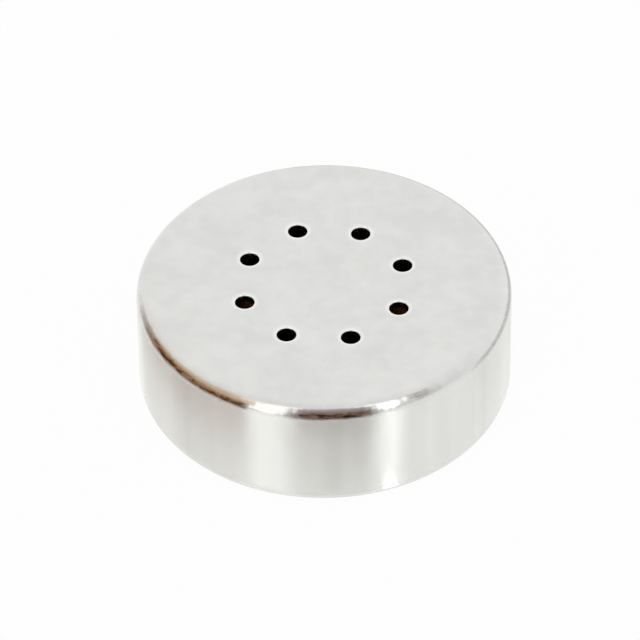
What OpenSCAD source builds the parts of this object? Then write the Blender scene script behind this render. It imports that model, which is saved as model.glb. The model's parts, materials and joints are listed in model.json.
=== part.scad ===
// Electret microphone capsule. A drawn aluminium can with a ring of sound holes in its
// front holds a stack of pieces: the diaphragm on its ring, a spacer, the backplate with
// its electret film, and a moulded holder with the contact ring inside it. A small circuit
// board closes the back, and the can's rim is rolled in over the board to clamp the stack.
// Millimetres. +Z points out of the front face, and the origin is the centre of the rim.

/* [Can] */
// Outer diameter of the can
can_d = 9.7; // [9:0.1:15]
// Height over the front face and the rolled rim
can_h = 3.15; // [2.9:0.05:6.5]
// Thickness of the sheet that the can is drawn from
sheet_t = 0.2; // [0.16:0.01:0.24]
// Outer radius of the edge round the front face
front_edge_r = 0.35; // [0.25:0.01:0.5]
// Outer radius of the rolled edge at the back
rim_edge_r = 0.26; // [0.25:0.01:0.4]
// Width of the rolled rim, from the outside of the wall to the lip
rim_w = 0.75; // [0.55:0.05:1.1]

/* [Sound holes] */
// Number of sound holes
hole_count = 8; // [3:1:12]
// Diameter of a sound hole
hole_d = 0.5; // [0.3:0.05:0.8]
// Diameter of the circle that the sound holes lie on
hole_circle_d = 4.3; // [3:0.1:6]
// Radius of the punched edge round a sound hole
hole_edge_r = 0.03; // [0.01:0.01:0.06]
// Angle of the first sound hole from the X axis
hole_angle = 18; // [0:1:45]

/* [Diaphragm and spacer] */
// Radial gap between the can's wall and the pieces stacked in it
stack_gap = 0.08; // [0.05:0.01:0.15]
// Thickness of the diaphragm's ring
ring_t = 0.35; // [0.25:0.05:0.55]
// Radial width of the diaphragm's ring
ring_w = 0.9; // [0.7:0.05:1.1]
// Thickness of the metallised diaphragm film
film_t = 0.006; // [0.004:0.001:0.02]
// Thickness of the spacer between the diaphragm and the backplate
spacer_t = 0.04; // [0.025:0.005:0.08]

/* [Backplate and holder] */
// Thickness of the electret film on the backplate
electret_t = 0.025; // [0.012:0.001:0.05]
// Thickness of the backplate
plate_t = 0.3; // [0.2:0.05:0.45]
// How far the backplate reaches out under the spacer
plate_lap = 0.4; // [0.25:0.05:0.5]
// Number of vents through the backplate
vent_count = 6; // [3:1:8]
// Diameter of a vent
vent_d = 0.7; // [0.4:0.05:0.9]
// Diameter of the circle that the vents lie on
vent_circle_d = 4.2; // [3:0.1:4.8]
// Width of the holder's ledge under the backplate
ledge_w = 0.35; // [0.2:0.05:0.45]
// Gap round the backplate and the contact ring inside the holder
holder_gap = 0.05; // [0.03:0.01:0.1]
// Wall of the contact ring
contact_t = 0.25; // [0.15:0.05:0.35]

/* [Circuit board] */
// Thickness of the bare board
board_t = 0.6; // [0.4:0.05:0.8]
// Thickness of the copper lands
copper_t = 0.035; // [0.018:0.001:0.07]
// Distance between the two terminals
pad_pitch = 2.54; // [2.3:0.01:3]
// Diameter of a terminal's pad
pad_d = 1.8; // [1.3:0.1:2.1]
// Width of the tracks that join the ground pad to the rim
track_w = 0.4; // [0.25:0.05:0.6]
// How far the ground ring shows inside the rim
ground_show = 0.3; // [0.15:0.05:0.5]
// Diameter of the plated holes through the board
via_d = 0.4; // [0.3:0.05:0.6]
// Bare margin of a pad round its solder
solder_margin = 0.12; // [0.05:0.01:0.25]
// Height of the solder on a terminal
solder_h = 0.13; // [0.06:0.01:0.15]

/* [Transistor] */
// Length of the transistor's body, along X
fet_l = 2.9; // [2.4:0.1:3]
// Width of the transistor's body, along Y
fet_w = 1.3; // [1.1:0.1:1.5]
// Height of the transistor's body
fet_h = 0.95; // [0.8:0.05:1.05]
// Gap under the transistor's body
fet_lift = 0.06; // [0.03:0.01:0.12]
// Distance of the body's middle from the middle of the board, along Y
fet_y = 0.9; // [0.7:0.05:1.1]
// Draft of the moulded body's sides, in degrees
fet_draft = 7; // [3:1:10]
// Distance between the drain lead and the source lead
lead_pitch = 1.9; // [1.7:0.1:2]
// Width of a lead
lead_w = 0.4; // [0.3:0.05:0.5]
// Thickness of a lead
lead_t = 0.12; // [0.08:0.01:0.14]
// How far a lead reaches out of the body
lead_reach = 0.55; // [0.5:0.05:0.7]
// Length of a lead's flat foot
foot_l = 0.28; // [0.2:0.02:0.32]
// Inner radius of a lead's bends
lead_bend_r = 0.1; // [0.05:0.01:0.12]
// How deep a lead is moulded into the body
lead_root = 0.25; // [0.15:0.05:0.35]

/* [Capacitors] */
// Length of a chip capacitor over its ends
cap_l = 1; // [0.9:0.05:1.2]
// Width of a chip capacitor
cap_w = 0.5; // [0.4:0.05:0.6]
// Height of a chip capacitor
cap_h = 0.5; // [0.3:0.05:0.6]
// Length of a metal end
cap_end = 0.25; // [0.2:0.01:0.3]
// How far a metal end stands proud of the ceramic
cap_end_proud = 0.015; // [0.005:0.005:0.03]
// Clear space between the two capacitors, and between them and the leads
cap_space = 0.3; // [0.2:0.05:0.4]

/* [Lands] */
// Gap between the drain land and the source land
land_gap = 0.6; // [0.5:0.05:0.7]
// Margin of copper round what is soldered to a land
land_margin = 0.15; // [0.1:0.01:0.2]
// Radius of a land's corners
land_corner_r = 0.12; // [0.05:0.01:0.2]

/* [Hidden] */
$fn = 96;
// Overshoot of a cutting shape past the face that it cuts
cut = 0.1;

// Radii of the can
can_r = can_d / 2;
can_in_r = can_r - sheet_t;
front_bend_r = front_edge_r - sheet_t;
rim_bend_r = rim_edge_r - sheet_t;
lip_r = can_r - rim_w;

// Radii of the stack: it clears the wall and the bends at both ends of the can
stack_r = can_in_r - max(stack_gap, front_bend_r, rim_bend_r);
ring_in_r = stack_r - ring_w;
plate_r = ring_in_r + plate_lap;
pocket_r = plate_r + holder_gap;
ledge_r = plate_r - ledge_w;
contact_r = ledge_r - holder_gap;
contact_in_r = contact_r - contact_t;

// Heights of the stack: the board lies on the rolled rim and the rest hangs from the front
z_rim = sheet_t;
z_board = z_rim + copper_t;
z_board_top = z_board + board_t;
z_land = z_board_top + copper_t;
z_front = can_h - sheet_t;
z_ring = z_front - ring_t;
z_film = z_ring - film_t;
z_spacer = z_film - spacer_t;
z_electret = z_spacer - electret_t;
z_plate = z_electret - plate_t;

// Places on the board: ground, source on +X and output, drain on -X
pad_x = pad_pitch / 2;
lead_x = lead_pitch / 2;
foot_y = fet_y - fet_w / 2 - lead_reach;
gate_foot_y = fet_y + fet_w / 2 + lead_reach;
cap_33pf_y = foot_y - cap_space - cap_w / 2;
cap_10pf_y = cap_33pf_y - cap_space - cap_w;
land_x0 = land_gap / 2;
land_x1 = max(pad_x + via_d / 2, lead_x + lead_w / 2) + land_margin;
land_y0 = cap_10pf_y - cap_w / 2 - land_margin;
land_y1 = max(foot_y + foot_l, via_d / 2) + land_margin;
z_lead = z_land + fet_lift + fet_h / 2;

// Angles of the tracks that join the ground pad to the rim
track_angles = [-60, 0, 60];

// Copies of the children round a circle of the given diameter
module round_circle(count, diameter, start = 0) {
    for (i = [0 : count - 1])
        rotate(start + i * 360 / count) translate([diameter / 2, 0]) children();
}

// A flat ring that stands on the plane z
module ring(outer_r, inner_r, z, height) {
    translate([0, 0, z])
        difference() {
            cylinder(r = outer_r, h = height);
            translate([0, 0, -cut]) cylinder(r = inner_r, h = height + 2 * cut);
        }
}

// Half of a disc's section, with its outer corners rounded below and above
module rounded_section(r, height, low_r, high_r) {
    square([r - low_r, height - high_r]);
    translate([0, low_r]) square([r - high_r, height - low_r]);
    translate([0, low_r]) square([r, height - low_r - high_r]);
    translate([r - low_r, low_r]) circle(low_r);
    translate([r - high_r, height - high_r]) circle(high_r);
}

// A rectangle with rounded corners, from one corner to the other
module rounded_rectangle(low, high, r) {
    size = high - low;
    translate(low + [r, 0]) square([size.x - 2 * r, size.y]);
    translate(low + [0, r]) square([size.x, size.y - 2 * r]);
    for (x = [low.x + r, high.x - r], y = [low.y + r, high.y - r])
        translate([x, y]) circle(r);
}

// Half of the can's section: front, wall and the rim rolled in to a round lip
module can_section() {
    difference() {
        rounded_section(can_r, can_h, rim_edge_r, front_edge_r);
        translate([0, sheet_t])
            rounded_section(can_in_r, can_h - 2 * sheet_t, rim_bend_r, front_bend_r);
        translate([0, -cut]) square([lip_r + sheet_t / 2, sheet_t + 2 * cut]);
    }
    translate([lip_r + sheet_t / 2, sheet_t / 2]) circle(sheet_t / 2);
}

// Half of a sound hole's section, flared at the front to leave a rounded edge
module hole_section() {
    hole_r = hole_d / 2;
    flare_r = hole_r + hole_edge_r;
    flare_z = can_h - hole_edge_r;
    translate([0, z_front - cut]) square([hole_r, sheet_t + cut]);
    difference() {
        translate([0, flare_z]) square([flare_r, hole_edge_r + cut]);
        translate([flare_r, flare_z]) circle(hole_edge_r);
    }
}

module can() {
    color("silver")
        difference() {
            rotate_extrude() can_section();
            round_circle(hole_count, hole_circle_d, hole_angle)
                rotate_extrude() hole_section();
        }
}

module diaphragm_ring() {
    color("goldenrod") ring(stack_r, ring_in_r, z_ring, ring_t);
}

module diaphragm() {
    color("khaki") translate([0, 0, z_film]) cylinder(r = stack_r, h = film_t);
}

module spacer_ring() {
    color("lightyellow") ring(stack_r, ring_in_r, z_spacer, spacer_t);
}

// The vents that run through the backplate and its electret film
module vents() {
    translate([0, 0, z_plate - cut])
        round_circle(vent_count, vent_circle_d)
            cylinder(d = vent_d, h = plate_t + electret_t + 2 * cut);
}

module electret_film() {
    color("aliceblue")
        difference() {
            translate([0, 0, z_electret]) cylinder(r = plate_r, h = electret_t);
            vents();
        }
}

module backplate() {
    color("darkkhaki")
        difference() {
            translate([0, 0, z_plate]) cylinder(r = plate_r, h = plate_t);
            vents();
        }
}

// A moulded ring with a pocket for the backplate above its ledge
module backplate_holder() {
    color("dimgray")
        difference() {
            ring(stack_r, ledge_r, z_board_top, z_spacer - z_board_top);
            translate([0, 0, z_plate]) cylinder(r = pocket_r, h = z_spacer - z_plate + cut);
        }
}

module contact_ring() {
    color("gold") ring(contact_r, contact_in_r, z_land, z_plate - z_land);
}

// A plated hole filled with solder, on the side given by the sign
module via(side, extra = 0) {
    translate([side * pad_x, 0, z_board - extra])
        cylinder(d = via_d, h = board_t + 2 * extra);
}

module circuit_board() {
    color("darkgreen")
        difference() {
            translate([0, 0, z_board]) cylinder(r = stack_r, h = board_t);
            for (side = [-1, 1])
                via(side, cut);
        }
}

module ground_via() {
    color("darkgray") via(1);
}

module output_via() {
    color("darkgray") via(-1);
}

// A ring under the contact ring, with a tongue in to the gate lead's foot
module gate_land() {
    tongue_x = lead_w / 2 + land_margin;
    tongue_y = gate_foot_y - foot_l - land_margin;
    tongue_end = contact_r - contact_t / 2;
    color("peru")
        translate([0, 0, z_board_top])
            linear_extrude(copper_t) {
                difference() {
                    circle(contact_r);
                    circle(contact_in_r - land_margin);
                }
                rounded_rectangle([-tongue_x, tongue_y], [tongue_x, tongue_end], land_corner_r);
            }
}

// The land of a lead, a plated hole and one end of each capacitor
module component_land() {
    color("peru")
        translate([0, 0, z_board_top])
            linear_extrude(copper_t)
                rounded_rectangle([land_x0, land_y0], [land_x1, land_y1], land_corner_r);
}

module source_land() {
    component_land();
}

module drain_land() {
    mirror([1, 0, 0]) component_land();
}

// A ring that the rim presses on, with tracks in to the ground pad
module ground_land() {
    color("peru")
        translate([0, 0, z_rim])
            linear_extrude(copper_t) {
                difference() {
                    circle(stack_r);
                    circle(lip_r - ground_show);
                }
                translate([pad_x, 0]) circle(d = pad_d);
                intersection() {
                    circle(lip_r);
                    for (angle = track_angles)
                        translate([pad_x, 0]) rotate(angle)
                            translate([0, -track_w / 2]) square([can_r, track_w]);
                }
            }
}

module output_land() {
    color("peru")
        translate([-pad_x, 0, z_rim]) cylinder(d = pad_d, h = copper_t);
}

// A low pillow of solder under a pad: a flat crown with a round shoulder up to the pad
module solder_pillow(side) {
    crown_r = pad_d / 2 - solder_margin - solder_h;
    color("lightgray")
        translate([side * pad_x, 0, z_rim])
            rotate_extrude() {
                translate([0, -solder_h]) square([crown_r, solder_h]);
                intersection() {
                    translate([crown_r, 0]) circle(solder_h);
                    translate([crown_r, -solder_h]) square(solder_h);
                }
            }
}

module ground_solder() {
    solder_pillow(1);
}

module output_solder() {
    solder_pillow(-1);
}

// Section of the moulded body across a width: widest at the leads, drafted up and down
module drafted_section(width) {
    inset = fet_h / 2 * tan(fet_draft);
    half = width / 2;
    polygon([
        [-half + inset, -fet_h / 2], [half - inset, -fet_h / 2], [half, 0],
        [half - inset, fet_h / 2], [-half + inset, fet_h / 2], [-half, 0]
    ]);
}

module transistor_body() {
    color("black")
        difference() {
            translate([0, fet_y, z_lead])
                intersection() {
                    rotate([90, 0, 0]) linear_extrude(fet_w, center = true) drafted_section(fet_l);
                    rotate([90, 0, 90]) linear_extrude(fet_l, center = true) drafted_section(fet_w);
                }
            gate_lead();
            drain_lead();
            source_lead();
        }
}

// Section of a bent lead: root in the body, shoulder, leg and foot, with round bends.
// Y runs out of the body from its side, and Z up from the middle of the root.
module lead_section() {
    drop = z_lead - z_land;
    outer_r = lead_bend_r + lead_t;
    leg_y = lead_reach - foot_l;
    leg_top = lead_t / 2;
    leg_bottom = -drop;
    translate([-lead_root, -lead_t / 2]) square([lead_root + leg_y - outer_r, lead_t]);
    translate([leg_y - outer_r, leg_top - outer_r]) bend(outer_r);
    translate([leg_y - lead_t, leg_bottom + outer_r])
        square([lead_t, leg_top - leg_bottom - 2 * outer_r]);
    translate([leg_y - lead_t + outer_r, leg_bottom + outer_r]) rotate(180) bend(outer_r);
    translate([leg_y - lead_t + outer_r, leg_bottom])
        square([lead_reach - leg_y + lead_t - outer_r, lead_t]);
}

// A quarter of a ring of lead material, from +Y round to +X
module bend(outer_r) {
    intersection() {
        difference() {
            circle(outer_r);
            circle(outer_r - lead_t);
        }
        square(outer_r);
    }
}

// A lead at x on one side of the body: +1 is the gate's side, -1 the other
module lead(x, side) {
    color("lightsteelblue")
        translate([x, fet_y + side * fet_w / 2, z_lead])
            mirror([0, side < 0 ? 1 : 0, 0])
                rotate([90, 0, 90])
                    linear_extrude(lead_w, center = true) lead_section();
}

module gate_lead() {
    lead(0, 1);
}

module drain_lead() {
    lead(-lead_x, -1);
}

module source_lead() {
    lead(lead_x, -1);
}

// The ceramic of a chip capacitor, between its metal ends
module capacitor_block(y) {
    color("tan")
        translate([-cap_l / 2 + cap_end, y - cap_w / 2 + cap_end_proud, z_land + cap_end_proud])
            cube([cap_l - 2 * cap_end, cap_w - 2 * cap_end_proud, cap_h - 2 * cap_end_proud]);
}

// The two metal ends of a chip capacitor, one on each land
module capacitor_ends(y) {
    color("gainsboro")
        for (x = [-cap_l / 2, cap_l / 2 - cap_end])
            translate([x, y - cap_w / 2, z_land]) cube([cap_end, cap_w, cap_h]);
}

module capacitor_33pf() {
    capacitor_block(cap_33pf_y);
}

module capacitor_33pf_ends() {
    capacitor_ends(cap_33pf_y);
}

module capacitor_10pf() {
    capacitor_block(cap_10pf_y);
}

module capacitor_10pf_ends() {
    capacitor_ends(cap_10pf_y);
}

can();
diaphragm_ring();
diaphragm();
spacer_ring();
electret_film();
backplate();
backplate_holder();
contact_ring();
circuit_board();
gate_land();
drain_land();
source_land();
ground_land();
output_land();
ground_via();
output_via();
ground_solder();
output_solder();
transistor_body();
gate_lead();
drain_lead();
source_lead();
capacitor_33pf();
capacitor_33pf_ends();
capacitor_10pf();
capacitor_10pf_ends();
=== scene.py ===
"""Electret microphone capsule: the looks of its pieces and the studio round them.

Run as a script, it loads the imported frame, models the drawn can, the copper lands and the solder
of the terminals over their solids, gives every piece its finish and sets up floor, lamps and
camera. Lengths are metres, except where a piece is being modelled, which is in millimetres.
"""
import json
import math
from collections import namedtuple

import bmesh
import bpy
from bpy.props import FloatProperty, FloatVectorProperty, IntProperty, PointerProperty
from mathutils import Matrix, Vector

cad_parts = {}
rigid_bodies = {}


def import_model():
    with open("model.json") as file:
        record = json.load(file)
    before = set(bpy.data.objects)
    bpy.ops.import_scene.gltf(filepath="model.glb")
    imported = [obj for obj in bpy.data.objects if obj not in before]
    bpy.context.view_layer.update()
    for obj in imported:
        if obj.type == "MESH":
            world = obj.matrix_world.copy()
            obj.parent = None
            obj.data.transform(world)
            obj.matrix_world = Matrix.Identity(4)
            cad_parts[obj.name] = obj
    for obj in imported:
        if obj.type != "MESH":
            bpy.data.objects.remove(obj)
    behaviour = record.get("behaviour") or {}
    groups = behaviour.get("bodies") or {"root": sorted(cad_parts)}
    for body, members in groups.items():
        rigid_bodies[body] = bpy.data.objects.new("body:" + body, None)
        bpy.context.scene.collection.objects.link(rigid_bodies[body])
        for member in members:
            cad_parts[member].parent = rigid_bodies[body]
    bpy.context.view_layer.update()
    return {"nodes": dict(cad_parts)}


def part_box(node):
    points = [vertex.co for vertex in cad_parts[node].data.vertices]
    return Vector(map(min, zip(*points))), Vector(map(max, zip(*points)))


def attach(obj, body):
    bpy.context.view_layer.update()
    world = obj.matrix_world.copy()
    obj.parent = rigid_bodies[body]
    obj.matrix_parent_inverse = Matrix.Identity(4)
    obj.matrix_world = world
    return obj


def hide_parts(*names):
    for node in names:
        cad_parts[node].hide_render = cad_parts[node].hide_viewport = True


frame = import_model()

bl_info = {
    "name": "Electret microphone capsule",
    "version": (1, 0, 0),
    "blender": (4, 5, 0),
    "location": "3D View > Sidebar > Capsule",
    "description": "Models and finishes a small round microphone capsule in a plain studio",
    "category": "Object",
}

BODY = "root"
MM = 0.001
# The floor lies just under the rim
FLOOR_Z = -0.002 * MM

# Soft boxes and cards round the capsule, for its reflections. Azimuths are degrees to the right of
# the camera's side. A lamp leans from its low end, given as azimuth and elevation, to its high
# end. A card bends round the capsule, and fades in at its start and out at its end, which lean to
# the right by so many degrees further up. Its lifts are the elevations, seen from the front edge,
# between which it fades in, is full and fades out. The halo is its colour where it fades out
# upwards.
Lamp = namedtuple("Lamp", "name low high distance width radiance tint")
LAMPS = (
    Lamp("lamp_left", (-30, 0), (-80, 79), 150 * MM, 54 * MM, 0.64, (1.0, 0.98, 0.96)),
    Lamp("lamp_right", (32.5, 0), (47, 64), 150 * MM, 8.5 * MM, 1.36, (0.95, 0.91, 1.0)),
    Lamp("lamp_high", (34, 16), (78, 79), 140 * MM, 30 * MM, 0.6, (1.0, 0.99, 0.97)),
)
Flag = namedtuple("Flag", "name start end leans fades lifts tint halo")
FLAGS = (
    Flag("flag_left", -114, -30, (0, -5), (34, 4), (-43, 0, 16, 118), (0.27, 0.09, 0.028),
         (0.88, 0.63, 0.34)),
    Flag("flag_middle", -19.5, 22.5, (-4, 7), (11, 7), (-41, 3, 26, 150), (0.14, 0.055, 0.03),
         (0.4, 0.35, 0.31)),
    Flag("flag_right", 35.5, 54, (12, 10), (4, 16), (-20, 50, 80, 105), (0.64, 0.6, 0.54),
         (0.8, 0.77, 0.73)),
    Flag("flag_rear", 63, 208, (0, 0), (14, 30), (-46, -30, -14, 8), (0.92, 0.92, 0.92),
         (0.9, 0.9, 0.9)),
)
# Radius of the first card, the step to the next one, and the highest elevation of any card
FLAG_RADIUS = 8 * MM
FLAG_STEP = 0.1 * MM
FLAG_HIGHEST = 82
# Elevations between which the ends of a card lean
FLAG_LEAN_LIFTS = (40, 74)
# Width of a card's patches, their width over their height, the noise between deep and pale ones,
# and the powers of the tint in these
FLAG_PATCH = 0.45 * MM
FLAG_PATCH_SHAPE = 0.35
FLAG_PATCH_RANGE = (0.42, 0.58)
FLAG_POWERS = (1.6, 0.5)
# Part of its upper fade over which a card takes on its halo
FLAG_HALO = 0.3
# Level distances at which a card's reflection fades, in gaps between the card and the can
FLAG_NEAR = (1.2, 1.5)

# Glare of a lamp on the floor, which only the wall mirrors. The reach is from the middle
Glare = namedtuple("Glare", "name azimuth reach length width radiance tint")
GLARE = Glare("glare", 20.7, 5.06 * MM, 0.12 * MM, 0.46 * MM, 3.6, (1.0, 1.0, 1.0))

# How far the bright side of the sky in reflections is turned from the rear to the right
SKY_LEAN = 0.35
# Part of the even light that is kept back from below on the right
LOW_SHADE = 0.5
FLOOR_GLOSS_ROUGHNESS = 0.1
CAMERA_CLIP = 10 * MM

# Numbers of sides and steps of the modelled pieces
CAN_SIDES = 256
LAND_SIDES = 128
HOLE_SIDES = 48
DOME_SIDES = 96
DOME_RINGS = 48
BEND_STEPS = 14
LIP_STEPS = 5
HOLE_STEPS = 4

# Part of the sheet's thickness that the round lip takes from either face
LIP_SHARE = 0.47
# Height of the tool that opens the ground ring, in thicknesses of the ring
CUTTER_SHARE = 3

# Millimetres of flat face kept round each hole and along the bends, so that the front shades flat
COLLAR = 0.02

# Millimetres within which two points count as level, and within which they are merged
NEAR = 1e-4
MERGE = 1e-5
# The sharpest edge that is shaded smooth
SMOOTH_ANGLE = math.radians(35)


def size_of(node):
    """The lengths of a CAD node's box along X, Y and Z."""
    low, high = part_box(node)
    return high - low


def middle_of(node):
    """The middle of a CAD node's box."""
    low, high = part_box(node)
    return (low + high) / 2


def length(name, description, metres):
    return FloatProperty(name=name, description=description, default=metres, min=0,
                         subtype="DISTANCE", unit="LENGTH", precision=6)


def angle(name, description, degrees):
    return FloatProperty(name=name, description=description, default=math.radians(degrees),
                         subtype="ANGLE", unit="ROTATION")


def share(name, description, part):
    return FloatProperty(name=name, description=description, default=part, min=0, max=1,
                         subtype="FACTOR")


def level(name, description, amount):
    return FloatProperty(name=name, description=description, default=amount, min=0)


def colour(name, description, rgb):
    return FloatVectorProperty(name=name, description=description, default=rgb, size=3,
                               min=0, max=1, subtype="COLOR")


class CapsuleCan(bpy.types.PropertyGroup):
    """Sizes and finish of the drawn can"""
    diameter: length("Diameter", "Outer diameter", size_of("can").x)
    height: length("Height", "Height over front face and rim", size_of("can").z)
    sheet: length("Sheet", "Thickness of the sheet", 0.2 * MM)
    front_edge: length("Front edge", "Outer radius of the edge round the front", 0.35 * MM)
    rim_edge: length("Rim edge", "Outer radius of the rolled edge at the back", 0.26 * MM)
    rim_width: length("Rim width", "Width of the rolled rim up to its lip", 0.75 * MM)
    hole_count: IntProperty(name="Holes", description="Number of sound holes", default=8, min=3)
    hole_diameter: length("Hole", "Diameter of a sound hole", 0.5 * MM)
    hole_edge: length("Hole edge", "Radius of the edge round a sound hole", 0.03 * MM)
    hole_circle: length("Hole circle", "Diameter of the circle of sound holes", 4.3 * MM)
    hole_angle: angle("First hole", "Angle of the first sound hole from X", 18)
    metal: colour("Metal", "Colour of the aluminium", (0.762, 0.76, 0.744))
    # The wall's colour is lighter and greener than the front's metal of the same sheet: painted
    # light that brightens the wall's reflections and evens out their tint
    wall: colour("Wall", "Colour of the drawn wall", (0.93, 0.94, 0.902))
    front_roughness: share("Front roughness", "Roughness of the satin front", 0.34)
    bend_roughness: share("Bend roughness", "Roughness of the polished bends", 0.13)
    wall_roughness: share("Wall roughness", "Roughness of the drawn wall", 0.37)


class CapsuleBoard(bpy.types.PropertyGroup):
    """Sizes and colours of the board's back with its lands and terminals"""
    ring_inner: length("Ring", "Inner radius of the ground ring", 3.8 * MM)
    track: length("Track", "Width of a track to the ground pad", 0.4 * MM)
    track_angle: angle("Track angle", "Angle between the tracks", 60)
    mask: colour("Mask", "Colour of the solder mask", (0.01, 0.13, 0.045))
    laminate: colour("Laminate", "Colour of the bare laminate", (0.42, 0.4, 0.22))
    copper: colour("Copper", "Colour of bare copper", (0.76, 0.5, 0.28))
    solder: colour("Solder", "Colour of the solder", (0.72, 0.73, 0.74))


class CapsuleInside(bpy.types.PropertyGroup):
    """Colours of the pieces sealed in the can"""
    brass: colour("Brass", "Colour of the rings", (0.72, 0.55, 0.24))
    # The film's colour is a warm metal tone darkened well below a metallised coat: painted shade,
    # so that the sound holes read dark
    film: colour("Diaphragm", "Colour of the metallised film", (0.2, 0.12, 0.07))
    spacer: colour("Spacer", "Colour of the spacer film", (0.85, 0.82, 0.7))
    electret: colour("Electret", "Colour of the electret film", (0.86, 0.88, 0.9))
    plate: colour("Backplate", "Colour of the plated backplate", (0.66, 0.64, 0.58))
    holder: colour("Holder", "Colour of the moulded holder", (0.16, 0.16, 0.17))
    moulding: colour("Transistor", "Colour of the transistor's body", (0.03, 0.03, 0.035))
    tin: colour("Leads", "Colour of leads and capacitor ends", (0.7, 0.7, 0.7))
    ceramic: colour("Ceramic", "Colour of the capacitors", (0.45, 0.33, 0.2))


class CapsuleStudio(bpy.types.PropertyGroup):
    """Camera, floor and light"""
    elevation: angle("Elevation", "Height of the camera over the horizon", 42.7)
    roll: angle("Roll", "Turn of the camera about its view", -0.8)
    distance: length("Distance", "Distance of the camera from the middle", 145.5 * MM)
    focal: level("Lens", "Focal length in millimetres", 314.7)
    aim_right: length("Aim right", "How far the middle lies right of the view's centre", 0.117 * MM)
    aim_down: length("Aim down", "How far the middle lies below the view's centre", 0.21 * MM)
    floor_radius: length("Floor", "Radius of the floor", 400 * MM)
    floor_opening: length("Floor opening", "Radius left open under the capsule", 4.6 * MM)
    floor: colour("Floor colour", "Colour of the floor", (0.9, 0.9, 0.89))
    floor_lift: share("Floor white", "How far the floor is lifted to white", 0.96)
    floor_gloss: share("Floor gloss", "How glossy the floor is in the can's reflections", 0.2)
    fill: level("Fill", "Strength of the even light all round", 0.7)
    front_sky: share("Front sky", "Brightness in reflections of the sky on the camera's side", 0.7)
    nadir: share("Below", "Brightness in reflections of what lies below the capsule", 0.2)


class Value:
    """A socket in a shader. Python's operators on it add Math nodes."""

    def __init__(self, shader, socket):
        self.shader = shader
        self.socket = socket

    def __add__(self, other):
        return self.shader.math("ADD", self, other)

    def __sub__(self, other):
        return self.shader.math("SUBTRACT", self, other)

    def __rsub__(self, other):
        return self.shader.math("SUBTRACT", other, self)

    def __mul__(self, other):
        return self.shader.math("MULTIPLY", self, other)

    def __pow__(self, other):
        return self.shader.math("POWER", self, other)

    __radd__ = __add__
    __rmul__ = __mul__


class Shader:
    """The node tree of a material or a world, filled node by node."""

    def __init__(self, owner):
        owner.use_nodes = True
        self.owner = owner
        self.tree = owner.node_tree
        self.tree.nodes.clear()

    @classmethod
    def material(cls, name):
        return cls(bpy.data.materials.new(name))

    def node(self, kind, settings=None, *values, **sockets):
        """Add a node of the kind, with its settings, then its sockets by order or by name."""
        node = self.tree.nodes.new("ShaderNode" + kind)
        for name, setting in (settings or {}).items():
            setattr(node, name, setting)
        live = [socket for socket in node.inputs if socket.enabled]
        named = {socket.name.replace(" ", "_"): socket for socket in live}
        pairs = list(zip(live, values)) + [(named[name], item) for name, item in sockets.items()]
        for socket, item in pairs:
            if isinstance(item, Value):
                self.tree.links.new(item.socket, socket)
            elif socket.type == "RGBA" and len(item) == 3:
                socket.default_value = (*item, 1)
            else:
                socket.default_value = item
        return {out.name: Value(self, out) for out in node.outputs if out.enabled}

    def math(self, operation, *numbers):
        """The result of an operation on sockets or plain numbers."""
        return self.node("Math", {"operation": operation}, *numbers)["Value"]

    def place(self):
        """A point's place on the piece, in metres, as a vector."""
        return self.node("TexCoord")["Object"]

    def split(self, place):
        """The X, Y and Z of a vector."""
        parts = self.node("SeparateXYZ", None, place)
        return parts["X"], parts["Y"], parts["Z"]

    def ramp(self, value, start, end):
        """0 up to the start and 1 from the end on, and smooth between them."""
        settings = {"interpolation_type": "SMOOTHSTEP"}
        return self.node("MapRange", settings, Value=value, From_Min=start,
                         From_Max=end)["Result"]

    def noise(self, place, size, detail=2.0):
        """Soft noise from 0 to 1, with spots of about the size in metres."""
        return self.node("TexNoise", None, Vector=place, Scale=1 / size, Detail=detail)["Fac"]

    def blend(self, factor, first, second):
        """The first colour where the factor is 0 and the second where it is 1."""
        return self.node("Mix", {"data_type": "RGBA"}, Factor=factor, A=first, B=second)["Result"]

    def mottle(self, factor, rgb, dark, light):
        """The colour, times the dark number where the factor is 0 and the light one at 1."""
        return self.blend(factor, shade(rgb, dark), shade(rgb, light))

    def bump(self, height, distance):
        """A normal that is tilted by a height from 0 to 1, over the distance in metres."""
        return self.node("Bump", None, Strength=1.0, Distance=distance, Height=height)["Normal"]

    def principled(self, **sockets):
        return self.node("BsdfPrincipled", None, **sockets)["BSDF"]

    def finish(self, surface, output="OutputMaterial"):
        self.node(output, None, Surface=surface)
        return self.owner


def heading(azimuth, elevation):
    """The direction of an azimuth and an elevation in degrees."""
    turn, lift = math.radians(azimuth), math.radians(elevation)
    return Vector((math.cos(lift) * math.sin(turn), -math.cos(lift) * math.cos(turn),
                   math.sin(lift)))


def axes_at(place, right, up, back):
    """The matrix of an object at the place, with these axes."""
    return Matrix.Translation(place) @ Matrix((right, up, back)).transposed().to_4x4()


def shade(rgb, factor):
    """The colour made darker or lighter by the factor."""
    return tuple(min(1.0, part * factor) for part in rgb)


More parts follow.
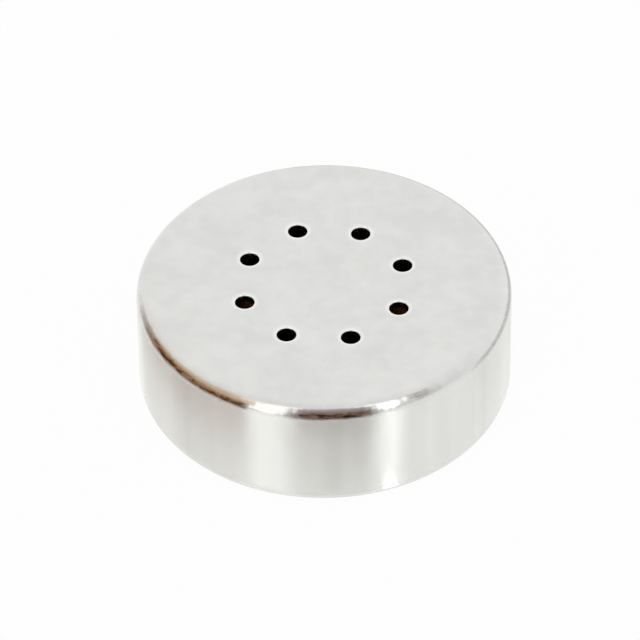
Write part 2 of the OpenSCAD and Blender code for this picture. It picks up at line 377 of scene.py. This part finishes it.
def drawn_aluminium(can):
    """Aluminium: satin and mottled in front, polished on the bends, drawn down the wall."""
    shader = Shader.material("can_aluminium")
    place = shader.place()
    x, y, z = shader.split(place)
    radius = (x * x + y * y) ** 0.5
    bend_z = can.height - can.front_edge
    clouds = shader.noise(place, 1.6 * MM, 3)
    smudges = shader.noise(place, 0.45 * MM, 4)
    grain = shader.noise(place, 0.05 * MM, 2)

    # Edges of the sound holes: a painted highlight, the colour lightened in a ring round each for
    # the bright punched edge
    step = 2 * math.pi / can.hole_count
    turn = shader.math("ARCTAN2", y, x) - can.hole_angle + step / 2
    turn = shader.math("FLOORED_MODULO", turn, step) - step / 2
    ahead = radius * shader.math("COSINE", turn) - can.hole_circle / 2
    aside = radius * shader.math("SINE", turn)
    from_hole = (ahead * ahead + aside * aside) ** 0.5
    hole_r = can.hole_diameter / 2
    halo = 0.14 * MM
    hole_rim_glint = shader.ramp(from_hole, hole_r + halo, hole_r + can.hole_edge)

    # Polished bends and the satin front, by height
    mottling = shader.ramp(0.5 * (clouds + smudges), 0.35, 0.65)
    metal = shader.mottle(mottling, can.metal, 0.95, 1.03)
    # The ring round each hole lightens the metal's colour: painted highlight
    metal = shader.blend(0.5 * hole_rim_glint, metal, shade(can.metal, 1.3))
    front = shader.ramp(z, bend_z + 0.8 * can.front_edge, can.height)
    polish = can.bend_roughness + front * (can.front_roughness - can.bend_roughness)
    waves = shader.noise(place, 0.3 * MM, 1) * (1 - 0.9 * front) * shader.ramp(z, 0.0, bend_z)
    bent = shader.principled(
        Base_Color=metal, Metallic=1.0, Roughness=polish + 0.1 * (smudges - 0.5),
        Normal=shader.bump(waves + 0.03 * grain, 0.009 * MM))

    # The wall between the bends, drawn down and brushed round
    down = shader.node("CombineXYZ", None, x, y, 0.03 * z)["Vector"]
    streaks = shader.noise(down, 0.8 * MM, 4)
    # The wall's base colour is the lifted wall colour, painted light, with streaks of the drawing
    bright = shader.mottle(shader.ramp(streaks, 0.3, 0.7), can.wall, 0.96, 1.04)
    turning = shader.node("CombineXYZ", None, 0.0, 0.0, z)["Vector"]
    lines = shader.noise(turning, 0.03 * MM, 3)
    swell = shader.noise(place, 1.2 * MM, 1)
    drawn = shader.principled(
        Base_Color=bright, Metallic=1.0, Anisotropic=1.0, Anisotropic_Rotation=0.25,
        Roughness=can.wall_roughness + 0.08 * (clouds - 0.5),
        Normal=shader.bump(swell + 0.05 * lines, 0.02 * MM))
    outer_r = can.diameter / 2
    outside = shader.ramp(radius, outer_r - 0.6 * can.sheet, outer_r - 0.4 * can.sheet)
    below = shader.ramp(z, bend_z + 0.12 * MM, bend_z - 0.02 * MM)
    above = shader.ramp(z, 0.7 * can.rim_edge, 1.6 * can.rim_edge)
    wall = outside * below * above
    return shader.finish(shader.node("MixShader", None, wall, bent, drawn)["Shader"])


def stamped_metal(name, rgb, roughness, grain_size=0.06 * MM):
    """Sheet metal with a fine grain and a cloudy sheen."""
    shader = Shader.material(name)
    place = shader.place()
    clouds = shader.noise(place, 0.8 * MM, 3)
    grain = shader.noise(place, grain_size, 2)
    metal = shader.mottle(clouds, rgb, 0.88, 1.06)
    return shader.finish(shader.principled(
        Base_Color=metal, Metallic=1.0, Roughness=roughness + 0.16 * (clouds - 0.5),
        Normal=shader.bump(grain, 0.003 * MM)))


def bright_solder(rgb):
    """Solder set with a smooth skin, slightly frosted and dimpled."""
    shader = Shader.material("solder")
    place = shader.place()
    frost = shader.noise(place, 0.12 * MM, 4)
    dimples = shader.noise(place, 0.45 * MM, 1)
    metal = shader.mottle(frost, rgb, 0.86, 1.05)
    return shader.finish(shader.principled(
        Base_Color=metal, Metallic=1.0, Roughness=0.2 + 0.22 * frost,
        Normal=shader.bump(dimples + 0.12 * frost, 0.03 * MM)))


def metallised_film(rgb):
    """Thin film with a warm metal coat, darkened as painted shade in the sound holes, and faint
    ripples from its tension.
    """
    shader = Shader.material("metallised_film")
    place = shader.place()
    ripples = shader.noise(place, 0.9 * MM, 2)
    specks = shader.noise(place, 0.1 * MM, 3)
    coat = shader.mottle(specks, rgb, 0.75, 1.1)
    return shader.finish(shader.principled(
        Base_Color=coat, Metallic=1.0, Roughness=0.16 + 0.12 * specks,
        Normal=shader.bump(ripples, 0.01 * MM)))


def clear_film(name, rgb):
    """Glossy plastic film with a slight haze."""
    shader = Shader.material(name)
    place = shader.place()
    haze = shader.noise(place, 0.6 * MM, 3)
    tint = shader.mottle(haze, rgb, 0.93, 1.03)
    return shader.finish(shader.principled(
        Base_Color=tint, Roughness=0.18 + 0.14 * haze, Coat_Weight=0.2 * haze,
        Normal=shader.bump(haze, 0.004 * MM)))


def moulded_plastic(name, rgb, roughness):
    """Moulded plastic with the fine texture of its tool."""
    shader = Shader.material(name)
    place = shader.place()
    texture = shader.noise(place, 0.05 * MM, 3)
    flow = shader.noise(place, 0.9 * MM, 2)
    body = shader.mottle(flow, rgb, 0.8, 1.2)
    return shader.finish(shader.principled(
        Base_Color=body, Roughness=roughness + 0.2 * (texture - 0.5),
        Normal=shader.bump(texture, 0.006 * MM)))


def fired_ceramic(rgb):
    """Ceramic with fine dark specks and a dull sheen."""
    shader = Shader.material("capacitor_ceramic")
    place = shader.place()
    specks = shader.ramp(shader.noise(place, 0.03 * MM, 2), 0.55, 0.75)
    clouds = shader.noise(place, 0.3 * MM, 2)
    body = shader.mottle(clouds, rgb, 0.88, 1.1)
    body = shader.blend(0.5 * specks, body, shade(rgb, 0.4))
    return shader.finish(shader.principled(
        Base_Color=body, Roughness=0.48 - 0.1 * specks,
        Normal=shader.bump(clouds, 0.004 * MM)))


def weave_of(shader, place, pitch):
    """Height of a plain glass weave whose threads lie a pitch apart."""
    x, y, _ = shader.split(place)
    across, along = (shader.math("SINE", side * (math.pi / pitch)) for side in (x, y))
    return 0.5 + 0.5 * across * along


def masked_laminate(board):
    """Glass laminate under green solder mask, with bare edges."""
    shader = Shader.material("board_laminate")
    place = shader.place()
    _, _, z = shader.split(place)
    low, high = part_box("circuit_board")
    weave = weave_of(shader, place, 0.28 * MM)
    clouds = shader.noise(place, 0.7 * MM, 3)
    mask = shader.mottle(clouds, board.mask, 0.82, 1.18)
    mask = shader.blend(0.25 * weave, mask, shade(board.mask, 1.9))
    bare = shader.mottle(weave, board.laminate, 0.85, 1.1)
    skin = 0.02 * MM
    coated = shader.ramp(z, low.z + skin, low.z + 0.5 * skin)
    coated = coated + shader.ramp(z, high.z - skin, high.z - 0.5 * skin)
    return shader.finish(shader.principled(
        Base_Color=shader.blend(coated, bare, mask), Roughness=0.3 + 0.1 * (clouds - weave),
        Coat_Weight=0.4 * coated, Normal=shader.bump(weave + 0.3 * clouds, 0.006 * MM)))


def land_copper(board):
    """Bare copper round the pads and on the ground ring, and masked copper along the tracks."""
    shader = Shader.material("land_copper")
    place = shader.place()
    x, y, _ = shader.split(place)
    scuffs = shader.noise(place, 0.35 * MM, 4)
    grain = shader.noise(place, 0.04 * MM, 2)
    bare = shader.mottle(scuffs, board.copper, 0.84, 1.12)
    pad = middle_of("ground_solder")
    pad_edge = size_of("output_land").x / 2
    from_pad = ((x - pad.x) * (x - pad.x) + y * y) ** 0.5
    from_middle = (x * x + y * y) ** 0.5
    edge = 0.02 * MM
    masked = shader.ramp(from_pad, pad_edge, pad_edge + edge)
    masked = masked * shader.ramp(from_middle, board.ring_inner, board.ring_inner - edge)
    masked = masked * shader.ramp(x, 0.0, edge)
    over = shader.mottle(scuffs, board.mask, 1.5, 2.2)
    return shader.finish(shader.principled(
        Base_Color=shader.blend(masked, bare, over), Metallic=1 - masked,
        Roughness=0.3 + 0.14 * (scuffs - 0.5), Coat_Weight=0.4 * masked,
        Normal=shader.bump(scuffs + 0.3 * grain, 0.004 * MM)))


def begin(name, make, **settings):
    """Add a primitive with nothing else selected, and leave it in edit mode."""
    bpy.ops.object.select_all(action="DESELECT")
    make(**settings)
    piece = bpy.context.object
    piece.name = piece.data.name = name
    bpy.ops.object.transform_apply(location=True, rotation=True, scale=True)
    bpy.ops.object.mode_set(mode="EDIT")
    return piece


def pick(piece, kind, wanted):
    """Select the vertices, edges or faces that pass the test, and nothing else."""
    bpy.ops.mesh.select_mode(type=kind)
    bpy.ops.mesh.select_all(action="DESELECT")
    mesh = bmesh.from_edit_mesh(piece.data)
    parts = {"VERT": mesh.verts, "EDGE": mesh.edges, "FACE": mesh.faces}[kind]
    chosen = [part for part in parts if wanted(part)]
    if not chosen:
        raise RuntimeError(f"{piece.name}: nothing to select")
    for part in chosen:
        part.select_set(True)
    mesh.select_flush_mode()
    bmesh.update_edit_mesh(piece.data)


def at_height(z):
    """A test for edges and faces that lie flat at the height."""
    return lambda part: all(abs(vert.co.z - z) < NEAR for vert in part.verts)


def at_radius(radius):
    """A test for level edges that lie on the circle of the radius about Z."""
    def test(edge):
        level_edge = abs(edge.verts[0].co.z - edge.verts[1].co.z) < NEAR
        return level_edge and all(abs(vert.co.xy.length - radius) < NEAR for vert in edge.verts)
    return test


def apply_modifier(piece, kind, **settings):
    """Add a modifier to the piece, set it and apply it."""
    bpy.ops.object.mode_set(mode="OBJECT")
    modifier = piece.modifiers.new(kind.lower(), kind)
    for name, setting in settings.items():
        setattr(modifier, name, setting)
    bpy.ops.object.modifier_apply(modifier=modifier.name)


def complete(piece, slot, material, *nodes):
    """Clean the mesh, bring it to metres and hand the piece over to the frame."""
    bpy.ops.object.mode_set(mode="EDIT")
    bpy.ops.mesh.select_all(action="SELECT")
    bpy.ops.mesh.remove_doubles(threshold=MERGE)
    bpy.ops.mesh.normals_make_consistent(inside=False)
    bpy.ops.object.mode_set(mode="OBJECT")
    piece.scale = (MM, MM, MM)
    bpy.ops.object.transform_apply(location=False, rotation=False, scale=True)
    bpy.ops.object.shade_smooth_by_angle(angle=SMOOTH_ANGLE)
    apply_modifier(piece, "WEIGHTED_NORMAL", keep_sharp=True)
    piece.data.materials.clear()
    piece.data.materials.append(material)
    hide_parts(*nodes)
    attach(piece, BODY)


def dress(node, material):
    """Give a CAD node that stays in view its finish."""
    mesh = frame["nodes"][node].data
    mesh.materials.clear()
    mesh.materials.append(material)


class CAPSULE_OT_can(bpy.types.Operator):
    """Model the drawn can with its bends, rolled rim and sound holes"""
    bl_idname = "capsule.can"
    bl_label = "Drawn can"

    def execute(self, context):
        can = context.scene.capsule_can
        radius = can.diameter / 2 / MM
        height = can.height / MM
        sheet = can.sheet / MM
        piece = begin("drawn_can", bpy.ops.mesh.primitive_cylinder_add, vertices=CAN_SIDES,
                      radius=radius, depth=height, location=(0, 0, height / 2))
        for z, edge in ((height, can.front_edge / MM), (0, can.rim_edge / MM)):
            pick(piece, "EDGE", at_height(z))
            bpy.ops.mesh.bevel(offset=edge, segments=BEND_STEPS, profile=0.5)
        self.roll_rim(piece, can)
        apply_modifier(piece, "SOLIDIFY", thickness=sheet, offset=-1, use_even_offset=True)
        bpy.ops.object.mode_set(mode="EDIT")
        pick(piece, "EDGE", at_radius(radius - can.rim_width / MM))
        bpy.ops.mesh.bevel(offset=LIP_SHARE * sheet, segments=LIP_STEPS, profile=0.5)
        self.punch_holes(piece, can)
        complete(piece, "can_aluminium", drawn_aluminium(can), "can")
        return {"FINISHED"}

    def roll_rim(self, piece, can):
        """Inset the bottom face to the lip and open what is left inside it."""
        pick(piece, "FACE", at_height(0))
        bpy.ops.mesh.inset(thickness=(can.rim_width - can.rim_edge) / MM, use_even_offset=True)
        bpy.ops.mesh.delete(type="FACE")

    def punch_holes(self, piece, can):
        """Replace both faces of the front by faces with a ring of round-edged holes."""
        height = can.height / MM
        inner_height = (can.height - can.sheet) / MM
        pick(piece, "FACE", lambda face: len(face.verts) > 4)
        bpy.ops.mesh.inset(thickness=COLLAR, use_individual=True)
        bpy.ops.mesh.delete(type="ONLY_FACE")
        hole_r = can.hole_diameter / 2 / MM
        edge = can.hole_edge / MM
        reach = can.hole_circle / 2 / MM
        centre = (reach * math.cos(can.hole_angle), reach * math.sin(can.hole_angle), height)
        rings = [(hole_r + edge * (1 - math.sin(turn)), edge * (1 - math.cos(turn)))
                 for turn in (math.pi / 2 * step / HOLE_STEPS for step in range(HOLE_STEPS + 1))]
        rings.insert(0, (rings[0][0] + COLLAR, 0.0))
        rings.append((hole_r, height - inner_height))
        bpy.ops.mesh.select_mode(type="EDGE")
        bpy.ops.mesh.primitive_circle_add(vertices=HOLE_SIDES, radius=rings[0][0],
                                          location=centre)
        for (last_r, last_depth), (ring_r, depth) in zip(rings, rings[1:]):
            bpy.ops.mesh.extrude_region_move(
                TRANSFORM_OT_translate={"value": (0, 0, last_depth - depth)})
            bpy.ops.transform.resize(value=(ring_r / last_r, ring_r / last_r, 1),
                                     center_override=centre)
        bpy.ops.mesh.select_linked()
        copies = can.hole_count - 1
        bpy.ops.mesh.spin(steps=copies, dupli=True, angle=2 * math.pi * copies / can.hole_count,
                          center=(0, 0, 0), axis=(0, 0, 1))
        for z in (height, inner_height):
            flat = at_height(z)
            pick(piece, "EDGE", lambda edge: edge.is_boundary and flat(edge))
            bpy.ops.mesh.fill()


class CAPSULE_OT_lands(bpy.types.Operator):
    """Model the copper lands on the back of the board"""
    bl_idname = "capsule.lands"
    bl_label = "Copper lands"

    def execute(self, context):
        board = context.scene.capsule_board
        copper = land_copper(board)
        thick = size_of("output_land").z / MM
        pad_r = size_of("output_land").x / 2 / MM
        pads = {side: middle_of(side + "_land") / MM for side in ("ground", "output")}
        output = self.disc("output_pad", pad_r, thick, pads["output"])
        complete(output, "land_copper", copper, "output_land")

        ring_r = size_of("ground_land").x / 2 / MM
        middle = Vector((0, 0, pads["ground"].z))
        ground = self.disc("ground_ring", ring_r, thick, middle)
        self.combine(ground, "DIFFERENCE", self.disc("ring_cutter", board.ring_inner / MM,
                                                     CUTTER_SHARE * thick, middle))
        pad = middle_of("ground_solder") / MM
        self.combine(ground, "UNION", self.disc("ground_pad", pad_r, thick,
                                                Vector((pad.x, pad.y, middle.z))))
        for turn in (-board.track_angle, 0.0, board.track_angle):
            self.combine(ground, "UNION", self.track(board, pad, middle.z, thick, turn))
        complete(ground, "land_copper", copper, "ground_land")
        return {"FINISHED"}

    def disc(self, name, radius, thick, middle):
        """A round plate with its middle at the point, in object mode."""
        piece = begin(name, bpy.ops.mesh.primitive_cylinder_add, vertices=LAND_SIDES,
                      radius=radius, depth=thick, location=middle)
        bpy.ops.object.mode_set(mode="OBJECT")
        return piece

    def track(self, board, pad, z, thick, turn):
        """A straight track from the pad's middle to the ground ring, at an angle to X."""
        outward = Vector((math.cos(turn), math.sin(turn), 0))
        along = outward.dot(Vector((pad.x, pad.y, 0)))
        ring_middle = (board.ring_inner / MM + size_of("ground_land").x / 2 / MM) / 2
        aside = pad.x ** 2 + pad.y ** 2 - along ** 2
        reach = math.sqrt(ring_middle ** 2 - aside) - along
        middle = Vector((pad.x, pad.y, z)) + outward * reach / 2
        piece = begin("track", bpy.ops.mesh.primitive_cube_add, size=1, location=middle,
                      rotation=(0, 0, turn), scale=(reach, board.track / MM, thick))
        bpy.ops.object.mode_set(mode="OBJECT")
        return piece

    def combine(self, piece, operation, tool):
        """Join the tool to the piece, or cut it away, and remove it."""
        bpy.ops.object.select_all(action="DESELECT")
        bpy.context.view_layer.objects.active = piece
        piece.select_set(True)
        apply_modifier(piece, "BOOLEAN", operation=operation, object=tool, solver="EXACT")
        bpy.data.objects.remove(tool)


class CAPSULE_OT_solder(bpy.types.Operator):
    """Model the domes of solder on the two terminals"""
    bl_idname = "capsule.solder"
    bl_label = "Terminal solder"

    def execute(self, context):
        board = context.scene.capsule_board
        finish = bright_solder(board.solder)
        for side in ("ground", "output"):
            node = side + "_solder"
            low, high = (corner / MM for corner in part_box(node))
            foot = Vector(((low.x + high.x) / 2, (low.y + high.y) / 2, high.z))
            radius = (high.x - low.x) / 2
            piece = begin(side + "_dome", bpy.ops.mesh.primitive_uv_sphere_add,
                          segments=DOME_SIDES, ring_count=DOME_RINGS, radius=radius,
                          location=foot)
            bpy.ops.mesh.select_all(action="SELECT")
            bpy.ops.mesh.bisect(plane_co=foot, plane_no=(0, 0, 1), clear_outer=True,
                                use_fill=True)
            bpy.ops.mesh.select_all(action="SELECT")
            squash = (high.z - low.z) / radius
            bpy.ops.transform.resize(value=(1, 1, squash), center_override=foot)
            complete(piece, "solder", finish, node)
        return {"FINISHED"}


class CAPSULE_OT_board(bpy.types.Operator):
    """Finish the circuit board, its plated holes and its inner lands"""
    bl_idname = "capsule.board"
    bl_label = "Circuit board"

    def execute(self, context):
        board = context.scene.capsule_board
        dress("circuit_board", masked_laminate(board))
        foil = stamped_metal("land_foil", board.copper, 0.34, 0.04 * MM)
        for node in ("gate_land", "drain_land", "source_land"):
            dress(node, foil)
        plating = stamped_metal("via_solder", board.solder, 0.3)
        for node in ("ground_via", "output_via"):
            dress(node, plating)
        return {"FINISHED"}


class CAPSULE_OT_stack(bpy.types.Operator):
    """Finish the diaphragm, the backplate and the rings stacked in the can"""
    bl_idname = "capsule.stack"
    bl_label = "Stack in the can"

    def execute(self, context):
        inside = context.scene.capsule_inside
        brass = stamped_metal("ring_brass", inside.brass, 0.3)
        dress("diaphragm_ring", brass)
        dress("contact_ring", brass)
        dress("diaphragm", metallised_film(inside.film))
        dress("spacer_ring", clear_film("spacer_film", inside.spacer))
        dress("electret_film", clear_film("electret_film", inside.electret))
        dress("backplate", stamped_metal("backplate_nickel", inside.plate, 0.26))
        dress("backplate_holder", moulded_plastic("holder_plastic", inside.holder, 0.5))
        return {"FINISHED"}


class CAPSULE_OT_electronics(bpy.types.Operator):
    """Finish the transistor, its leads and the chip capacitors"""
    bl_idname = "capsule.electronics"
    bl_label = "Electronics"

    def execute(self, context):
        inside = context.scene.capsule_inside
        dress("transistor_body", moulded_plastic("moulded_black", inside.moulding, 0.55))
        tin = stamped_metal("lead_tin", inside.tin, 0.32, 0.03 * MM)
        for node in ("gate_lead", "drain_lead", "source_lead", "capacitor_33pf_ends",
                     "capacitor_10pf_ends"):
            dress(node, tin)
        ceramic = fired_ceramic(inside.ceramic)
        for node in ("capacitor_33pf", "capacitor_10pf"):
            dress(node, ceramic)
        return {"FINISHED"}


class CAPSULE_OT_studio(bpy.types.Operator):
    """Set up the floor, the light and the camera"""
    bl_idname = "capsule.studio"
    bl_label = "Studio"

    def execute(self, context):
        scene = context.scene
        studio = scene.capsule_studio
        scene.view_settings.view_transform = "Standard"
        self.lay_floor(studio)
        self.light_world(scene, studio)
        for lamp in LAMPS:
            self.add_lamp(lamp)
        self.lay_glare(GLARE)
        for index, flag in enumerate(FLAGS):
            self.hang_flag(flag, FLAG_RADIUS + index * FLAG_STEP, scene.capsule_can)
        self.place_camera(scene, studio)
        return {"FINISHED"}

    def lay_floor(self, studio):
        """A round floor that is open under the capsule and clear from below."""
        floor = begin("floor", bpy.ops.mesh.primitive_circle_add, vertices=CAN_SIDES,
                      radius=studio.floor_radius, fill_type="NGON", location=(0, 0, FLOOR_Z))
        bpy.ops.mesh.inset(thickness=studio.floor_radius - studio.floor_opening)
        bpy.ops.mesh.delete(type="FACE")
        bpy.ops.object.mode_set(mode="OBJECT")
        shader = Shader.material("floor")
        rays = shader.node("LightPath")
        seen = rays["Is Camera Ray"] + rays["Is Glossy Ray"] + rays["Is Transmission Ray"]
        matt = shader.node("BsdfDiffuse", None, Color=studio.floor)["BSDF"]
        white = shader.node("Emission", None, Color=(1, 1, 1), Strength=1.0)["Emission"]
        lifted = shader.node("MixShader", None, seen * studio.floor_lift, matt, white)["Shader"]
        gloss = shader.node("BsdfGlossy", None, Color=(1, 1, 1),
                            Roughness=FLOOR_GLOSS_ROUGHNESS)["BSDF"]
        lifted = shader.node("MixShader", None, rays["Is Glossy Ray"] * studio.floor_gloss,
                             lifted, gloss)["Shader"]
        below = shader.node("NewGeometry")["Backfacing"]
        clear = shader.node("BsdfTransparent")["BSDF"]
        one_way = shader.node("MixShader", None, below, lifted, clear)["Shader"]
        floor.data.materials.append(shader.finish(one_way))

    def light_world(self, scene, studio):
        """Even light all round, white to the camera, and a sky that only reflections see."""
        world = bpy.data.worlds.new("studio")
        scene.world = world
        shader = Shader(world)
        rays = shader.node("LightPath")
        seen = rays["Is Camera Ray"] + rays["Is Transmission Ray"]
        glossy = rays["Is Glossy Ray"]
        side, rear, up = shader.split(shader.node("TexCoord")["Generated"])
        rearward = shader.ramp(rear + SKY_LEAN * side, -1.0, 1.0)
        mirrored = studio.front_sky + (1 - studio.front_sky) * rearward
        under = shader.ramp(up, 0.0, -0.7) * shader.ramp(side, -0.6, 0.3)
        nadir = 1 - (1 - studio.nadir) * under
        shaded = 1 - LOW_SHADE * shader.ramp(up, 0.0, -0.2) * shader.ramp(side, -0.8, 0.8)
        strength = studio.fill * shaded * (1 - seen - glossy) + seen + mirrored * nadir * glossy
        sky = shader.node("Background", None, Color=(1, 1, 1), Strength=strength)["Background"]
        shader.finish(sky, "OutputWorld")

    def add_lamp(self, lamp):
        """A tall oval soft box that leans over and faces the capsule."""
        low, high = (heading(*end) * lamp.distance for end in (lamp.low, lamp.high))
        self.oval_light(lamp, (low + high) / 2, high - low, (low + high).normalized())

    def lay_glare(self, glare):
        """An oval light that lies on the floor and faces up."""
        ahead = heading(glare.azimuth, 0)
        light = self.oval_light(glare, ahead * glare.reach, ahead * glare.length,
                                Vector((0, 0, -1)))
        light.visible_diffuse = False

    def oval_light(self, source, middle, span, back):
        """An oval light that spans a length about its middle and faces away from its back."""
        light = bpy.data.lights.new(source.name, "AREA")
        light.shape = "ELLIPSE"
        light.size = source.width
        light.size_y = span.length
        area = math.pi / 4 * light.size * light.size_y
        light.energy = math.pi * source.radiance * area
        light.color = source.tint
        holder = bpy.data.objects.new(source.name, light)
        bpy.context.scene.collection.objects.link(holder)
        up = span.normalized()
        holder.matrix_world = axes_at(middle, up.cross(back), up, back)
        holder.visible_camera = False
        return holder

    def hang_flag(self, flag, radius, can):
        """A card bent round the capsule, seen only in its reflections."""
        edge_z = can.height - can.front_edge / 2
        gap = radius - can.diameter / 2 + can.front_edge / 2
        bottom, top = (max(0, edge_z + gap * math.tan(math.radians(lift)))
                       for lift in (flag.lifts[0], min(flag.lifts[3], FLAG_HIGHEST)))
        card = begin(flag.name, bpy.ops.mesh.primitive_circle_add, vertices=CAN_SIDES,
                     radius=radius, location=(0, 0, bottom))
        start, end = flag.start + min(0, flag.leans[0]), flag.end + max(0, flag.leans[1])
        half = (end - start) / 2
        pick(card, "EDGE", lambda edge: abs(self.azimuth_of(edge, start + half)) > half)
        bpy.ops.mesh.delete(type="EDGE")
        bpy.ops.mesh.select_all(action="SELECT")
        bpy.ops.mesh.extrude_region_move(
            TRANSFORM_OT_translate={"value": (0, 0, top - bottom)})
        bpy.ops.object.mode_set(mode="OBJECT")
        card.data.materials.append(self.flag_cloth(flag, edge_z, gap))
        card.visible_camera = card.visible_diffuse = card.visible_shadow = False

    def flag_cloth(self, flag, edge_z, gap):
        """Cloth with soft patches, clear towards the sides of the card."""
        shader = Shader.material(flag.name)
        x, y, z = shader.split(shader.place())
        middle = math.radians(flag.end + flag.start) / 2
        half = math.radians(flag.end - flag.start) / 2
        ahead = x * math.sin(middle) - y * math.cos(middle)
        aside = x * math.cos(middle) + y * math.sin(middle)
        azimuth = shader.math("ARCTAN2", aside, ahead)
        over = z - edge_z
        elevation = shader.math("ARCTAN2", over, gap)
        low, full_from, full_to, high = (math.radians(lift) for lift in flag.lifts)
        fade_in, fade_out = (math.radians(fade) for fade in flag.fades)
        rise = shader.ramp(elevation, *(math.radians(lift) for lift in FLAG_LEAN_LIFTS))
        from_start, from_end = (azimuth - math.radians(lean) * rise for lean in flag.leans)
        dense = shader.ramp(elevation, low, full_from) * shader.ramp(elevation, high, full_to)
        dense = dense * shader.ramp(from_start, -half, fade_in - half)
        dense = dense * shader.ramp(from_end, half, half - fade_out)

        # Only the edge and the wall next to the card mirror it, and not the front from behind
        away = shader.node("LightPath")["Ray Length"]
        level_away = (away * away - over * over) ** 0.5
        near, far = (gaps * gap for gaps in FLAG_NEAR)
        dense = dense * shader.ramp(level_away, far, near)

        upright = shader.node("CombineXYZ", None, x, y, FLAG_PATCH_SHAPE * z)["Vector"]
        patches = shader.ramp(shader.noise(upright, FLAG_PATCH), *FLAG_PATCH_RANGE)
        deep, pale = (tuple(part ** power for part in flag.tint) for power in FLAG_POWERS)
        tint = shader.blend(patches, deep, pale)
        halo_full = full_to + FLAG_HALO * (high - full_to)
        tint = shader.blend(shader.ramp(elevation, full_to, halo_full), tint, flag.halo)
        cloth = shader.node("BsdfDiffuse", None, Color=tint)["BSDF"]
        clear = shader.node("BsdfTransparent")["BSDF"]
        return shader.finish(shader.node("MixShader", None, dense, clear, cloth)["Shader"])

    def azimuth_of(self, edge, origin):
        """Degrees round Z from an azimuth to the edge, to the right, from -180 to 180."""
        middle = (edge.verts[0].co + edge.verts[1].co) / 2
        turn = math.degrees(math.atan2(middle.x, -middle.y)) - origin
        return (turn + 180) % 360 - 180

    def place_camera(self, scene, studio):
        """A long lens at the photo's angle, a little rolled and aimed beside the middle."""
        back = Vector((0, -math.cos(studio.elevation), math.sin(studio.elevation)))
        side = Vector((1, 0, 0))
        upright = back.cross(side)
        right = math.cos(studio.roll) * side + math.sin(studio.roll) * upright
        up = back.cross(right)
        middle = Vector((0, 0, scene.capsule_can.height / 2))
        aim = middle - right * studio.aim_right + up * studio.aim_down
        lens = bpy.data.cameras.new("camera")
        lens.lens = studio.focal
        lens.clip_start = CAMERA_CLIP
        camera = bpy.data.objects.new("camera", lens)
        scene.collection.objects.link(camera)
        camera.matrix_world = axes_at(aim + back * studio.distance, right, up, back)
        scene.camera = camera


class CAPSULE_PT_panel(bpy.types.Panel):
    """Lists the steps that build the capsule"""
    bl_label = "Microphone capsule"
    bl_idname = "CAPSULE_PT_panel"
    bl_space_type = "VIEW_3D"
    bl_region_type = "UI"
    bl_category = "Capsule"

    def draw(self, context):
        for step in STEPS:
            self.layout.operator(step.bl_idname)


SETTINGS = {
    "capsule_can": CapsuleCan,
    "capsule_board": CapsuleBoard,
    "capsule_inside": CapsuleInside,
    "capsule_studio": CapsuleStudio,
}
STEPS = (CAPSULE_OT_can, CAPSULE_OT_lands, CAPSULE_OT_solder, CAPSULE_OT_board,
         CAPSULE_OT_stack, CAPSULE_OT_electronics, CAPSULE_OT_studio)


def register():
    for cls in (*SETTINGS.values(), *STEPS, CAPSULE_PT_panel):
        bpy.utils.register_class(cls)
    for name, cls in SETTINGS.items():
        setattr(bpy.types.Scene, name, PointerProperty(type=cls))


def unregister():
    for name in SETTINGS:
        delattr(bpy.types.Scene, name)
    for cls in reversed((*SETTINGS.values(), *STEPS, CAPSULE_PT_panel)):
        bpy.utils.unregister_class(cls)


def main():
    register()
    for step in (bpy.ops.capsule.can, bpy.ops.capsule.lands, bpy.ops.capsule.solder,
                 bpy.ops.capsule.board, bpy.ops.capsule.stack, bpy.ops.capsule.electronics,
                 bpy.ops.capsule.studio):
        step()


if __name__ == "__main__":
    main()
